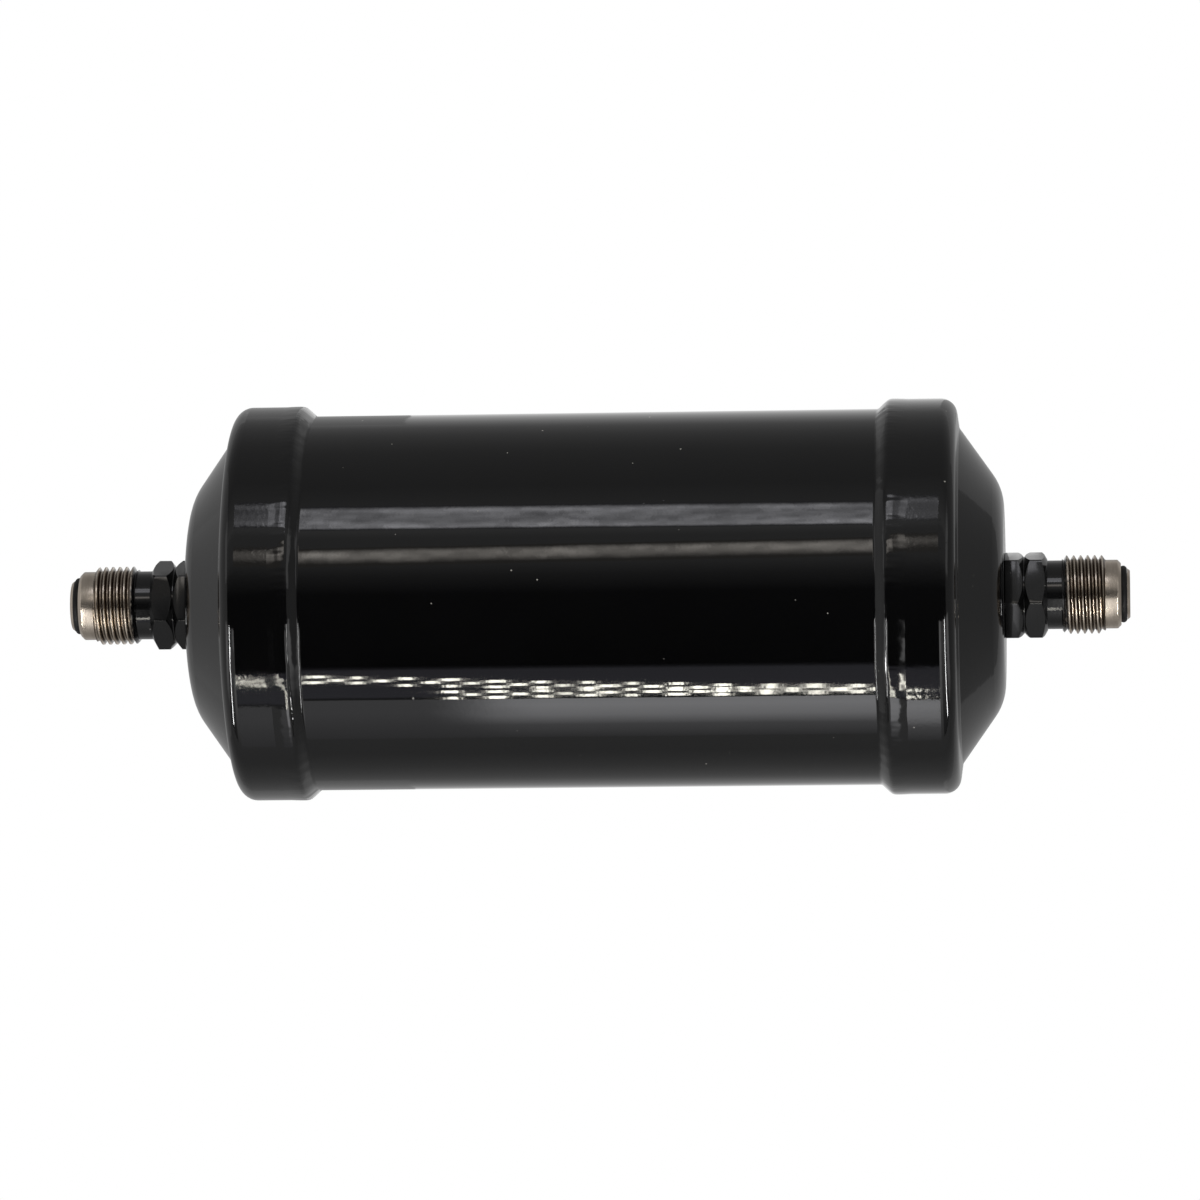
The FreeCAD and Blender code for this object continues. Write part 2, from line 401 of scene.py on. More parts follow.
def hexagonBar():
    f = fitting
    corner = f["acrossFlats"] / 2 / math.cos(math.radians(30))
    deselectAll()
    bpy.ops.mesh.primitive_cylinder_add(
        vertices=6, radius=corner * mm, depth=f["hexLength"] * mm,
        location=((f["hexStart"] + f["hexLength"] / 2) * mm, 0, 0), rotation=(0, math.radians(90), 0),
    )
    bar = bpy.context.object
    applyPlace(bar)
    bpy.ops.object.mode_set(mode="EDIT")
    bpy.ops.mesh.select_all(action="DESELECT")
    bpy.ops.object.mode_set(mode="OBJECT")
    for edge in bar.data.edges:
        first, last = (bar.data.vertices[index].co for index in edge.vertices)
        edge.select = abs(first.x - last.x) > 0.5 * f["hexLength"] * mm
    bpy.ops.object.mode_set(mode="EDIT")
    bpy.ops.mesh.select_mode(type="EDGE")
    bpy.ops.mesh.bevel(offset=f["edgeRound"] * mm, segments=3, affect="EDGES")
    bpy.ops.mesh.select_mode(type="VERT")
    bpy.ops.object.mode_set(mode="OBJECT")
    groove = f["hexStart"] + f["groovePlace"]
    wide = corner + 1
    slope = (wide - f["grooveRadius"]) / (corner - f["grooveRadius"])
    end = f["hexStart"] + f["hexLength"]
    lead = (wide - f["chamferRadius"]) * f["chamferLength"] / (corner - f["chamferRadius"])
    envelope = traceOutline("envelope", [
        (f["hexStart"] - 1, 0),
        (f["hexStart"] - 1, wide),
        (groove - slope * f["grooveHalfWidth"], wide),
        (groove - f["grooveFlat"], f["grooveRadius"] + f["grooveFill"]),
        (groove + f["grooveFlat"], f["grooveRadius"] + f["grooveFill"]),
        (groove + slope * f["grooveHalfWidth"], wide),
        (end - lead, wide),
        (end - f["chamferFlat"], f["chamferRadius"] + f["chamferSoft"]),
        (end, f["chamferRadius"] - f["chamferSoft"]),
        (end + 0.001, 0),
    ])
    spinRound(envelope, f["steps"])
    combine(bar, envelope, "INTERSECT")
    return bar


def threadedRod():
    # one tooth, wound by a Screw modifier and cut flat at both ends
    f = fitting
    pitch = f["threadPitch"]
    flank = (1 - f["crestShare"] - f["rootShare"]) / 2
    first = f["threadStart"] - f["threadLead"] * pitch
    crest, root = f["threadRadius"], f["threadRoot"]
    tooth = traceOutline("threadedRod", [
        (first, root),
        (first + pitch * flank, crest),
        (first + pitch * (flank + f["crestShare"]), crest),
        (first + pitch * (2 * flank + f["crestShare"]), root),
        (first + pitch * (2 * flank + f["crestShare"] + f["rootShare"] / 2), root - f["rootSag"]),
        (first + pitch, root),
    ])
    turns = math.ceil((f["threadEnd"] - first) / pitch) + 2
    applyModifier(
        tooth, "SCREW", axis="X", angle=math.tau, screw_offset=pitch * mm, iterations=turns,
        steps=f["steps"], render_steps=f["steps"], use_merge_vertices=True, merge_threshold=0.000005,
    )
    makeActive(tooth)
    bpy.ops.object.mode_set(mode="EDIT")
    bpy.ops.mesh.select_all(action="SELECT")
    bpy.ops.mesh.remove_doubles(threshold=0.000004)
    for place, normal in ((f["threadStart"], (-1, 0, 0)), (f["threadEnd"], (1, 0, 0))):
        bpy.ops.mesh.select_all(action="SELECT")
        bpy.ops.mesh.bisect(plane_co=(place * mm, 0, 0), plane_no=normal, clear_outer=True, use_fill=True)
    bpy.ops.mesh.select_all(action="SELECT")
    bpy.ops.mesh.normals_make_consistent(inside=False)
    bpy.ops.object.mode_set(mode="OBJECT")
    for vertex in tooth.data.vertices:
        x = vertex.co.x / mm
        fromEnd = min(x - f["threadStart"], f["threadEnd"] - x)
        most = (f["threadRadius"] - f["threadChamfer"] + max(fromEnd, 0)) * mm
        radius = math.hypot(vertex.co.y, vertex.co.z)
        if radius > most:
            vertex.co.y *= most / radius
            vertex.co.z *= most / radius
    return tooth


def fittingStem():
    f = fitting
    nose, pilot, ring = f["pilotEnd"], f["pilotRadius"], f["ringPlace"]
    groove = f["ringGrooveHalfWidth"]
    lip = ring + groove
    chamfer, soft = f["pilotChamfer"], f["softEdge"]
    lipEnd = (f["tip"], f["lipTipRadius"])
    rounded = roundCorner((lip, f["lipRadius"]), lipEnd, (f["tip"], 0), f["lipRound"], 4)
    stem = traceOutline("fittingStem", [
        (f["spigotStart"], 0),
        (f["spigotStart"], f["spigotRadius"] - f["spigotChamfer"]),
        (f["spigotStart"] + f["spigotChamfer"], f["spigotRadius"]),
        (f["hexStart"] + f["neckFrom"], f["spigotRadius"]),
        (f["hexStart"] + f["neckFrom"] + soft, f["neckRadius"]),
        (f["threadStart"] - f["seam"], f["neckRadius"]),
        (f["threadEnd"] + f["seam"], pilot),
        (nose - chamfer - 2 * soft, pilot),
        (nose - chamfer + soft, pilot - soft),
        (nose - soft, pilot - chamfer + soft),
        (nose, pilot - chamfer - f["seam"]),
        (nose, f["grooveWall"]),
        (ring - groove, f["grooveWall"]),
        (ring - groove, f["grooveFloor"]),
        (lip, f["grooveFloor"]),
        (lip, f["lipRadius"]),
        *rounded,
        (f["tip"], 0),
    ])
    return spinRound(stem, f["steps"])


def boreDrill():
    f = fitting
    drill = traceOutline("boreDrill", [
        (f["boreBack"], 0),
        (f["boreBack"], f["boreRadius"]),
        (f["tip"] - f["boreChamfer"], f["boreRadius"]),
        (f["tip"] + 0.1, f["boreRadius"] + f["boreChamfer"] + 0.1),
        (f["tip"] + 0.1, 0),
    ])
    return spinRound(drill, f["steps"])


def cornerAngle(piece):
    # the angle from +Z towards the camera of the hexagon corner that stands highest
    far = max(piece.data.vertices, key=lambda v: (round(math.hypot(v.co.y, v.co.z), 5), v.co.z))
    return math.atan2(-far.co.y, far.co.z)


def keepAs(piece, name, replaced):
    piece.name = name
    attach(piece, "root")
    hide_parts(replaced)


def makeFitting(end):
    # modelled at the outlet, then turned to its own end
    fittingPiece = fittingStem()
    combine(fittingPiece, hexagonBar(), "UNION")
    rod = threadedRod()
    rod.data.transform(Matrix.Rotation(fitting["threadTurn"][end], 4, "X"))
    combine(fittingPiece, rod, "UNION")
    combine(fittingPiece, boreDrill(), "DIFFERENCE")
    smoothByAngle(fittingPiece, 28)
    if end == "inlet":
        fittingPiece.data.transform(Matrix.Rotation(math.pi, 4, "Z"))
    turn = fitting["turn"][end] - cornerAngle(fittingPiece)
    fittingPiece.data.transform(Matrix.Rotation(turn, 4, "X"))
    keepAs(fittingPiece, end + "_threaded_fitting", end + "_fitting")
    print(end, "fitting made,", len(fittingPiece.data.polygons), "faces")
    return fittingPiece


fittingLook = {
    # distances along and from the axis in metres
    "sprayEdge": (0.0952, 0.0963),
    "sprayWander": 0.0012,
    "valley": (0.00712, 0.00728),
    "crest": (0.0075, 0.0078),
    # the share of the flanks' painted shade that the thread's root keeps
    "valleyShade": 0.25,
    "ringDepth": 2.2,
}


def sprayedFittingMetal():
    # bare turned metal on the thread and pilot, satin overspray from the can outwards
    look = fittingLook
    material, tree, shader = newMaterial("sprayedFittingMetal")
    place = objectPlace(tree)
    parts = addNode(tree, "ShaderNodeSeparateXYZ")
    tree.links.new(place, parts.inputs["Vector"])
    along = calculate(tree, "ABSOLUTE", parts.outputs["X"])
    across = addNode(tree, "ShaderNodeCombineXYZ")
    connect(tree, (parts.outputs["Y"], across.inputs["Y"]), (parts.outputs["Z"], across.inputs["Z"]))
    length = addNode(tree, "ShaderNodeVectorMath", operation="LENGTH")
    tree.links.new(across.outputs["Vector"], length.inputs[0])
    radius = length.outputs["Value"]
    marks = useGroup(tree, turnedMarks, Vector=place, Fineness=7000)
    ragged = noiseValue(tree, place, 900, 3)
    edge = calculate(tree, "ADD", along, calculate(tree, "MULTIPLY", ragged, look["sprayWander"]))
    sprayed = remap(tree, edge, *look["sprayEdge"], 1, 0)
    # painted shade: the thread's flanks are darkened to dark brown, its root a quarter as much, its crests
    # left bare
    overValley = remap(tree, radius, *look["valley"], look["valleyShade"], 1)
    underCrest = remap(tree, radius, *look["crest"], 1, 0)
    onFlank = calculate(tree, "MINIMUM", overValley, underCrest)
    inThread = calculate(tree, "LESS_THAN", along, fitting["threadEnd"] * mm)
    flankPaintedShade = calculate(tree, "MULTIPLY", onFlank, inThread)
    grey = mixColour(tree, marks.outputs["Tone"], (0.44, 0.375, 0.31, 1), (0.68, 0.6, 0.51, 1))
    metal = mixColour(tree, flankPaintedShade, grey, (0.075, 0.058, 0.04, 1))
    skin = useGroup(tree, sprayedSkin, Vector=place, Peel=2.5, Ripple=16, Nibs=14)
    black = mixColour(tree, skin.outputs["Cloud"], (0.0016, 0.0016, 0.0017, 1), (0.004, 0.004, 0.0042, 1))
    dusty = mixColour(tree, skin.outputs["Dust"], black, (0.14, 0.14, 0.13, 1))
    metalHeight = calculate(tree, "MULTIPLY", marks.outputs["Rings"], look["ringDepth"])
    height = addNode(tree, "ShaderNodeMix", data_type="FLOAT")
    connect(
        tree,
        (sprayed, height.inputs[0]),
        (metalHeight, height.inputs[2]),
        (skin.outputs["Height"], height.inputs[3]),
        (mixColour(tree, sprayed, metal, dusty), shader.inputs["Base Color"]),
        (calculate(tree, "SUBTRACT", 1, sprayed), shader.inputs["Metallic"]),
        (remap(tree, sprayed, 0, 1, 0.25, 0.1), shader.inputs["Roughness"]),
        (bumpNormal(tree, height.outputs[0], 0.000001), shader.inputs["Normal"]),
    )
    return material


# Weld beads: a rounded fillet from the tube over the skirt's edge, with a wandering toe and ripple

weld = {
    "tubeRadius": 38.1,
    "skirtRadius": 40.05,
    "sunk": 0.12,
    "steps": 720,
    "section": [(57.0, 38.1), (57.25, 38.15), (57.55, 38.37), (58.15, 38.95), (58.8, 39.55), (59.3, 39.9),
                (59.6, 40.04), (59.9, 40.1), (60.3, 40.13), (61.2, 40.125), (62.1, 40.095), (62.8, 40.065),
                (63.15, 40.05)],
    "wander": 0.2,
    "wanderScale": 2.5,
    "toeWander": 0.09,
    "toeScale": 16,
    "lump": 0.03,
    "lumpScale": 20,
    "ripplePitch": 1.4,
    "rippleDepth": 0.006,
    "rippleSlant": 2.4,
    "most": 40.245,
    # where the torch started and stopped: height as a share of the radius, reach in millimetres and
    # half width in radians
    "overlaps": {"inlet": [(-0.38, 0.9, 0.05)], "outlet": [(0.46, 0.8, 0.07), (0.24, 0.7, 0.06)]},
}


def weldBead(end):
    w = weld
    side = ends[end]
    section = [(x * side, radius) for x, radius in w["section"]]
    hidden = [
        (section[-1][0], w["skirtRadius"] - w["sunk"]),
        (section[5][0], w["skirtRadius"] - w["sunk"]),
        (section[2][0], w["tubeRadius"] - w["sunk"]),
        (section[0][0], w["tubeRadius"] - w["sunk"]),
        section[0],
    ]
    bead = spinRound(traceOutline("bead", section + hidden), w["steps"])
    middle = (section[0][0] + section[-1][0]) / 2
    reach = abs(section[-1][0] - section[0][0]) / 2
    ripples = round(w["skirtRadius"] * math.tau / w["ripplePitch"])
    for vertex in bead.data.vertices:
        x, radius = vertex.co.x / mm, math.hypot(vertex.co.y, vertex.co.z) / mm
        angle = math.atan2(vertex.co.z, vertex.co.y)
        onSide = (x - middle) / reach * side   # -1 at the tube's toe, 1 at the skirt's toe
        around = Vector((math.cos(angle), math.sin(angle), 0))
        broadPlace = around * w["wanderScale"] + Vector((0, 0, side * 5))
        toePlace = around * w["toeScale"] + Vector((onSide * 0.6, 0, side * 9))
        drift = noise.noise(broadPlace) * w["wander"] + noise.noise(toePlace) * w["toeWander"]
        body = max(0, 1 - onSide ** 2)
        lift = math.sin(ripples * angle + w["rippleSlant"] * body) * w["rippleDepth"] * body
        lumpPlace = around * w["lumpScale"] + Vector((onSide, 3, side * 4))
        lift += noise.noise(lumpPlace) * w["lump"] * body
        for height, spread, width in w["overlaps"][end]:
            away = (angle - (math.pi - math.asin(height)) + math.pi) % math.tau - math.pi
            swell = math.exp(-(away / width) ** 2) * max(0, onSide)
            drift += side * spread * swell
        radius = min(radius + lift, w["most"])
        x += drift
        vertex.co = (x * mm, radius * mm * math.cos(angle), radius * mm * math.sin(angle))
    smoothByAngle(bead, 60)
    keepAs(bead, end + "_rippled_weld", end + "_weld_bead")
    return bead


# Finish of the pieces that stay as the frame gives them


def dress(piece, material):
    piece.data.materials.clear()
    piece.data.materials.append(material)


def blackRubber():
    material, tree, shader = newMaterial("blackRubber")
    place = objectPlace(tree)
    tone = noiseValue(tree, place, 700, 3)
    black = mixColour(tree, tone, (0.0025, 0.0025, 0.0025, 1), (0.006, 0.006, 0.0055, 1))
    connect(
        tree,
        (black, shader.inputs["Base Color"]),
        (remap(tree, tone, 0, 1, 0.45, 0.6), shader.inputs["Roughness"]),
        (bumpNormal(tree, noiseValue(tree, place, 4000), 0.000004), shader.inputs["Normal"]),
    )
    shader.inputs["Specular IOR Level"].default_value = 0.2
    return material


def innerSteel(name, dark, pale, scale, roughness):
    # drawn or rolled steel with fine lines along the sheet and soft cloudy tone
    material, tree, shader = newMaterial(name)
    place = objectPlace(tree)
    marks = useGroup(tree, turnedMarks, Vector=place, Fineness=scale)
    rough = remap(tree, marks.outputs["Rings"], 0, 1, roughness, roughness + 0.15)
    connect(
        tree,
        (mixColour(tree, marks.outputs["Tone"], dark, pale), shader.inputs["Base Color"]),
        (rough, shader.inputs["Roughness"]),
        (bumpNormal(tree, marks.outputs["Rings"], 0.000003), shader.inputs["Normal"]),
    )
    shader.inputs["Metallic"].default_value = 1
    return material


def wovenWire():
    material, tree, shader = newMaterial("wovenWire")
    place = objectPlace(tree)
    heights = []
    for direction, phase in (("Y", 0), ("Z", math.pi)):
        wave = addNode(tree, "ShaderNodeTexWave", bands_direction=direction, wave_profile="SIN")
        wave.inputs["Scale"].default_value = 300
        wave.inputs["Phase Offset"].default_value = phase
        tree.links.new(place, wave.inputs["Vector"])
        heights.append(wave.outputs["Fac"])
    height = calculate(tree, "MAXIMUM", *heights)
    # painted shade: the low places between the wires are near black, the wire tops pale
    wireAndGapShade = mixColour(tree, height, (0.06, 0.06, 0.06, 1), (0.55, 0.54, 0.52, 1))
    connect(
        tree,
        (wireAndGapShade, shader.inputs["Base Color"]),
        (remap(tree, height, 0, 1, 0.5, 0.3), shader.inputs["Roughness"]),
        (bumpNormal(tree, height, 0.0001), shader.inputs["Normal"]),
    )
    shader.inputs["Metallic"].default_value = 1
    return material


def needledFelt():
    material, tree, shader = newMaterial("needledFelt")
    place = objectPlace(tree)
    fibre = noiseValue(tree, stretched(tree, place, (1, 1, 0.2)), 2600, 4, 0.7)
    connect(
        tree,
        (mixColour(tree, fibre, (0.52, 0.5, 0.45, 1), (0.8, 0.78, 0.72, 1)), shader.inputs["Base Color"]),
        (bumpNormal(tree, fibre, 0.0002), shader.inputs["Normal"]),
    )
    shader.inputs["Roughness"].default_value = 0.95
    return material


def packedBeads():
    material, tree, shader = newMaterial("packedBeads")
    cells = addNode(tree, "ShaderNodeTexVoronoi", feature="F1")
    cells.inputs["Scale"].default_value = 420
    tree.links.new(objectPlace(tree), cells.inputs["Vector"])
    domed = calculate(tree, "SUBTRACT", 0.6, cells.outputs["Distance"])
    # painted shade: each bead darkens to brown towards its edge, where it meets its neighbours
    beadGapPaintedShade = remap(tree, cells.outputs["Distance"], 0.2, 0.6, 0, 1)
    tone = mixColour(tree, 0.12, (0.74, 0.66, 0.52, 1), cells.outputs["Color"])
    connect(
        tree,
        (mixColour(tree, beadGapPaintedShade, tone, (0.2, 0.17, 0.12, 1)), shader.inputs["Base Color"]),
        (bumpNormal(tree, domed, 0.001), shader.inputs["Normal"]),
    )
    shader.inputs["Roughness"].default_value = 0.8
    return material


# Stage: a pale floor far below, the light tent that the paint mirrors, and soft lamps

stage = {
    "floorDrop": 0.6,
    "floorSize": 6,
    "tentRadius": 0.5,
    "tentHalf": 0.6,
    "patchLift": 0.004,    # how far a patch of light stands off the tent
    "ambient": 0.6,
    "peak": 4,
    # angle in degrees from the camera upwards around the can's axis, and how bright the tent is there
    "tent": [
        (-180, 1.0), (-160, 0.55), (-140, 0.33), (-122, 0.28), (-106, 0.27), (-95, 0.34), (-84, 0.42),
        (-62, 0.5), (-61.2, 0.08), (-60.4, 0.42), (-42, 0.38), (-40.5, 0.02), (5, 0.03),
        (16, 0.16), (24, 0.33), (40, 0.36), (44, 0.5), (61, 0.33), (75, 0.24), (105, 0.25),
        (124, 0.3), (136, 0.36), (151, 0.66), (165, 0.85), (180, 1.0),
    ],
    "coolFrom": -61,    # between these angles the tent is a little blue
    "coolTo": -41,
    "coolBlue": 1.15,
    # the end walls: their plain level, as the cones mirror it, and outside a dark middle the brighter
    # front half by angle, as the threads mirror it
    "behind": {"inlet": 0.46, "outlet": 0.27},
    "wallInner": 0.26,
    "wallSoft": 0.06,
    "front": [(-180, 0), (-100, 0), (-84, 0.5), (-66, 1.1), (-34, 1.7), (-16, 1.4), (-12, 0.1), (12, 0.1),
              (20, 0.9), (55, 0.9), (70, 0.4), (90, 0), (180, 0)],
}
canRadius = weld["tubeRadius"]


def onlyMirrored(piece):
    piece.visible_camera = False
    piece.visible_diffuse = False
    piece.visible_transmission = False
    piece.visible_volume_scatter = False
    piece.visible_shadow = False


def glow(name, level, colour=(1, 1, 1, 1)):
    material = bpy.data.materials.new(name)
    material.use_nodes = True
    tree = material.node_tree
    tree.nodes.clear()
    lamp = addNode(tree, "ShaderNodeEmission")
    lamp.inputs["Strength"].default_value = level
    lamp.inputs["Color"].default_value = colour
    connect(tree, (lamp.outputs[0], addNode(tree, "ShaderNodeOutputMaterial").inputs["Surface"]))
    return material, tree, lamp


def tentAngle(angle):
    # where on the tent the tube mirrors a direction that stands at this angle from the camera
    return angle - math.asin(canRadius * mm / stage["tentRadius"] * math.sin(angle / 2))


def angleShare(tree):
    # the angle around X from the camera's side upwards, from 0 at -180 degrees to 1 at 180
    parts = addNode(tree, "ShaderNodeSeparateXYZ")
    tree.links.new(objectPlace(tree), parts.inputs["Vector"])
    towards = calculate(tree, "MULTIPLY", parts.outputs["Y"], -1)
    angle = calculate(tree, "ARCTAN2", parts.outputs["Z"], towards)
    return calculate(tree, "ADD", calculate(tree, "DIVIDE", angle, math.tau), 0.5)


def levelRamp(tree, share, levels, peak):
    # a colour ramp through (place, level, blue) stops, as shares of the peak
    ramp = addNode(tree, "ShaderNodeValToRGB")
    stops = ramp.color_ramp.elements
    for index, (place, level, blue) in enumerate(levels):
        stop = stops[index] if index < 2 else stops.new(place)
        stop.position = place
        stop.color = (level / peak, level / peak, level / peak * blue, 1)
    tree.links.new(share, ramp.inputs["Fac"])
    return ramp.outputs["Color"]


def makeTent():
    s = stage
    deselectAll()
    bpy.ops.mesh.primitive_cylinder_add(
        vertices=128, radius=s["tentRadius"], depth=2 * s["tentHalf"], end_fill_type="NOTHING",
        rotation=(0, math.radians(90), 0),
    )
    tent = bpy.context.object
    tent.name = "lightTent"
    applyPlace(tent)
    material, tree, lamp = glow("tentGlow", s["peak"])
    levels = []
    for degrees, level in s["tent"]:
        blue = s["coolBlue"] if s["coolFrom"] < degrees < s["coolTo"] else 1
        levels.append((tentAngle(math.radians(degrees)) / math.tau + 0.5, level, blue))
    tree.links.new(levelRamp(tree, angleShare(tree), levels, s["peak"]), lamp.inputs["Color"])
    dress(tent, material)
    onlyMirrored(tent)
    for end in ends:
        makeWall(end)


def makeWall(end):
    s = stage
    deselectAll()
    bpy.ops.mesh.primitive_circle_add(
        vertices=64, radius=s["tentRadius"], fill_type="NGON",
        location=(ends[end] * s["tentHalf"], 0, 0), rotation=(0, math.radians(90), 0),
    )
    wall = bpy.context.object
    wall.name = end + "Wall"
    applyPlace(wall)
    material, tree, lamp = glow(end + "WallGlow", s["peak"])
    levels = [(degrees / 360 + 0.5, level, 1) for degrees, level in s["front"]]
    front = levelRamp(tree, angleShare(tree), levels, s["peak"])
    across = addNode(tree, "ShaderNodeVectorMath", operation="MULTIPLY")
    across.inputs[1].default_value = (0, 1, 1)
    fromAxis = addNode(tree, "ShaderNodeVectorMath", operation="LENGTH")
    connect(tree, (objectPlace(tree), across.inputs[0]), (across.outputs["Vector"], fromAxis.inputs[0]))
    inner = s["wallInner"]
    outer = remap(tree, fromAxis.outputs["Value"], inner, inner + s["wallSoft"], 0, s["peak"])
    level = calculate(tree, "MULTIPLY", front, outer)
    tree.links.new(calculate(tree, "MAXIMUM", level, s["behind"][end]), lamp.inputs["Strength"])
    dress(wall, material)
    onlyMirrored(wall)


def mirroredPlace(canX, rise):
    # the tent's point that the tube mirrors at canX along it and at this height of its front, as a share
    angle = 2 * math.asin(rise)
    cameraX = view["distance"] * math.sin(view["turn"])
    out = view["distance"] * math.cos(view["turn"]) - canRadius * mm * math.sqrt(1 - rise * rise)
    back = stage["tentRadius"] - canRadius * mm
    x = canX * mm + (canX * mm - cameraX) * back / out
    return x, tentAngle(angle)


def tentPatch(corners, name, material, lift):
    # a curved patch inside the tent from its (x, angle) corners: low start, low end, high end, high start
    deselectAll()
    bpy.ops.mesh.primitive_grid_add(x_subdivisions=24, y_subdivisions=4, size=2)
    patch = bpy.context.object
    patch.name = name
    radius = stage["tentRadius"] - lift
    for vertex in patch.data.vertices:
        u, v = vertex.co.x / 2 + 0.5, vertex.co.y / 2 + 0.5
        low = Vector(corners[0]).lerp(Vector(corners[1]), u)
        high = Vector(corners[3]).lerp(Vector(corners[2]), u)
        x, angle = low.lerp(high, v)
        vertex.co = (x, -radius * math.cos(angle), radius * math.sin(angle))
    dress(patch, material)
    onlyMirrored(patch)
    return patch


def patchPlace(tree):
    # across a patch: u from its start to its end, v from its low to its high edge, and both as a vector
    place = addNode(tree, "ShaderNodeTexCoord").outputs["UV"]
    parts = addNode(tree, "ShaderNodeSeparateXYZ")
    tree.links.new(place, parts.inputs["Vector"])
    return parts.outputs["X"], parts.outputs["Y"], place


panels = {
    # share of the can's radius at the left and right ends, low and high edge; how the light falls off at
    # the low and the high edge, how much brighter the edges are than the middle, and rows of blotches
    "coolPanel": {
        "left": (0.386, 0.514), "right": (0.378, 0.506), "level": 2.3, "colour": (0.95, 0.95, 1, 1),
        "softLow": 0.12, "softHigh": 0.25, "edgeGain": 0.5, "rows": 4.2,
    },
    "warmPanel": {
        "left": (0.178, 0.276), "right": (0.23, 0.326), "level": 2.7, "colour": (1, 0.94, 0.87, 1),
        "softLow": 0.6, "softHigh": 0.35, "edgeGain": 0, "rows": 2.2,
    },
}
panelRun = {
    # along the can, in millimetres from its middle
    "reach": 112,
    "fade": (59, 62),      # the panels weaken here, where the skirts mirror them
    "back": (78, 84),      # and are back to full here, for the fittings
    "faded": 0.4,
    "edge": (0.1, 0.4),    # from a panel's middle line, as shares of its width
    "blotch": 1.3,
    "broadBlotch": 9,
    "fineGain": (0.62, 1.45),
    "broadGain": (0.75, 1.2),
    "least": 0.3,
}


def product(tree, *values):
    result = values[0]
    for value in values[1:]:
        result = calculate(tree, "MULTIPLY", result, value)
    return result


def panelGlow(name, panel):
    material, tree, lamp = glow(name + "Glow", panel["level"], panel["colour"])
    u, v, place = patchPlace(tree)
    run = panelRun
    whole = 2 * run["reach"]
    fromMiddle = calculate(tree, "ABSOLUTE", calculate(tree, "SUBTRACT", u, 0.5))
    fade, back = ([x / whole for x in run[key]] for key in ("fade", "back"))
    onSkirt = remap(tree, fromMiddle, *fade, 1, run["faded"])
    pastCan = remap(tree, fromMiddle, *back, 0, 1)
    atEnds = calculate(tree, "MAXIMUM", onSkirt, pastCan)
    low = remap(tree, v, 0, panel["softLow"], 0, 1)
    high = remap(tree, v, 1 - panel["softHigh"], 1, 1, 0)
    fromCentre = calculate(tree, "ABSOLUTE", calculate(tree, "SUBTRACT", v, 0.5))
    edges = remap(tree, fromCentre, *run["edge"], 1, 1 + panel["edgeGain"])
    finePlace = stretched(tree, place, (whole / run["blotch"], panel["rows"], 1))
    broadPlace = stretched(tree, place, (whole / run["broadBlotch"], panel["rows"] / 2, 1))
    fine = remap(tree, noiseValue(tree, finePlace, 1, 2, 0.6), *noiseSpan, *run["fineGain"])
    broad = remap(tree, noiseValue(tree, broadPlace, 1, 1), *noiseSpan, *run["broadGain"])
    strength = product(tree, low, high, edges, atEnds, fine, broad, panel["level"])
    tree.links.new(calculate(tree, "MAXIMUM", strength, run["least"]), lamp.inputs["Strength"])
    return material


def patchCorners(fromX, toX, start, end):
    # corners of a patch from the heights of its low and high edge at its start and at its end
    ring = ((fromX, start[0]), (toX, end[0]), (toX, end[1]), (fromX, start[1]))
    return [mirroredPlace(canX, rise) for canX, rise in ring]


def makePanels():
    reach = panelRun["reach"]
    for name, panel in panels.items():
        corners = patchCorners(-reach, reach, panel["left"], panel["right"])
        tentPatch(corners, name, panelGlow(name, panel), stage["patchLift"])


lowPanel = {
    # the pale ground below the can, brighter under its right half; v runs up the patch
    "reach": (-74, 76),
    "rise": (-0.72, -0.516),
    "left": [(0, 0.42), (0.35, 0.6), (0.7, 0.8), (1, 0.85)],
    "right": [(0, 0.42), (0.35, 0.95), (0.6, 2.6), (0.85, 3.4), (1, 3.3)],
    "turns": (-34, -8),   # along the can, from the left level to the right
    "blue": 1.03,
    "wander": 0.12,
    "cloud": (9, 1.2, 1),
}


def makeLowPanel():
    p = lowPanel
    start, end = p["reach"]
    material, tree, lamp = glow("lowPanelGlow", stage["peak"])
    u, v, place = patchPlace(tree)
    left, right = (
        levelRamp(tree, v, [(at, level, p["blue"]) for at, level in p[key]], stage["peak"])
        for key in ("left", "right")
    )
    turns = [(x - start) / (end - start) for x in p["turns"]]
    cloud = noiseValue(tree, stretched(tree, place, p["cloud"]), 1, 2)
    shift = calculate(tree, "MULTIPLY", calculate(tree, "SUBTRACT", cloud, 0.5), p["wander"])
    toRight = remap(tree, calculate(tree, "ADD", u, shift), *turns, 0, 1)
    tree.links.new(mixColour(tree, toRight, left, right), lamp.inputs["Color"])
    corners = patchCorners(start, end, p["rise"], p["rise"])
    tentPatch(corners, "lowPanel", material, stage["patchLift"])


chips = {
    # rows of light chips in a two-one-two pattern, as the tube mirrors them low on its front
    "step": 4.5,
    "length": 2.7,
    "lengthJitter": 0.5,
    "thickness": 0.0135,
    "spread": 0.0155,
    "jitter": 0.006,
    "lift": 0.008,
    "level": 34,
    "colour": (1, 0.97, 0.86, 1),
    "rows": [
        {"from": -72, "to": 71, "riseFrom": -0.384, "riseTo": -0.487, "bow": -0.012},
        {"from": -27, "to": 71, "riseFrom": -0.492, "riseTo": -0.487, "bow": 0.004},
        {"from": -93, "to": -86, "riseFrom": -0.4, "riseTo": -0.44, "bow": 0, "thickness": 0.03},
        {"from": 88, "to": 94, "riseFrom": -0.42, "riseTo": -0.38, "bow": 0, "thickness": 0.045},
    ],
}


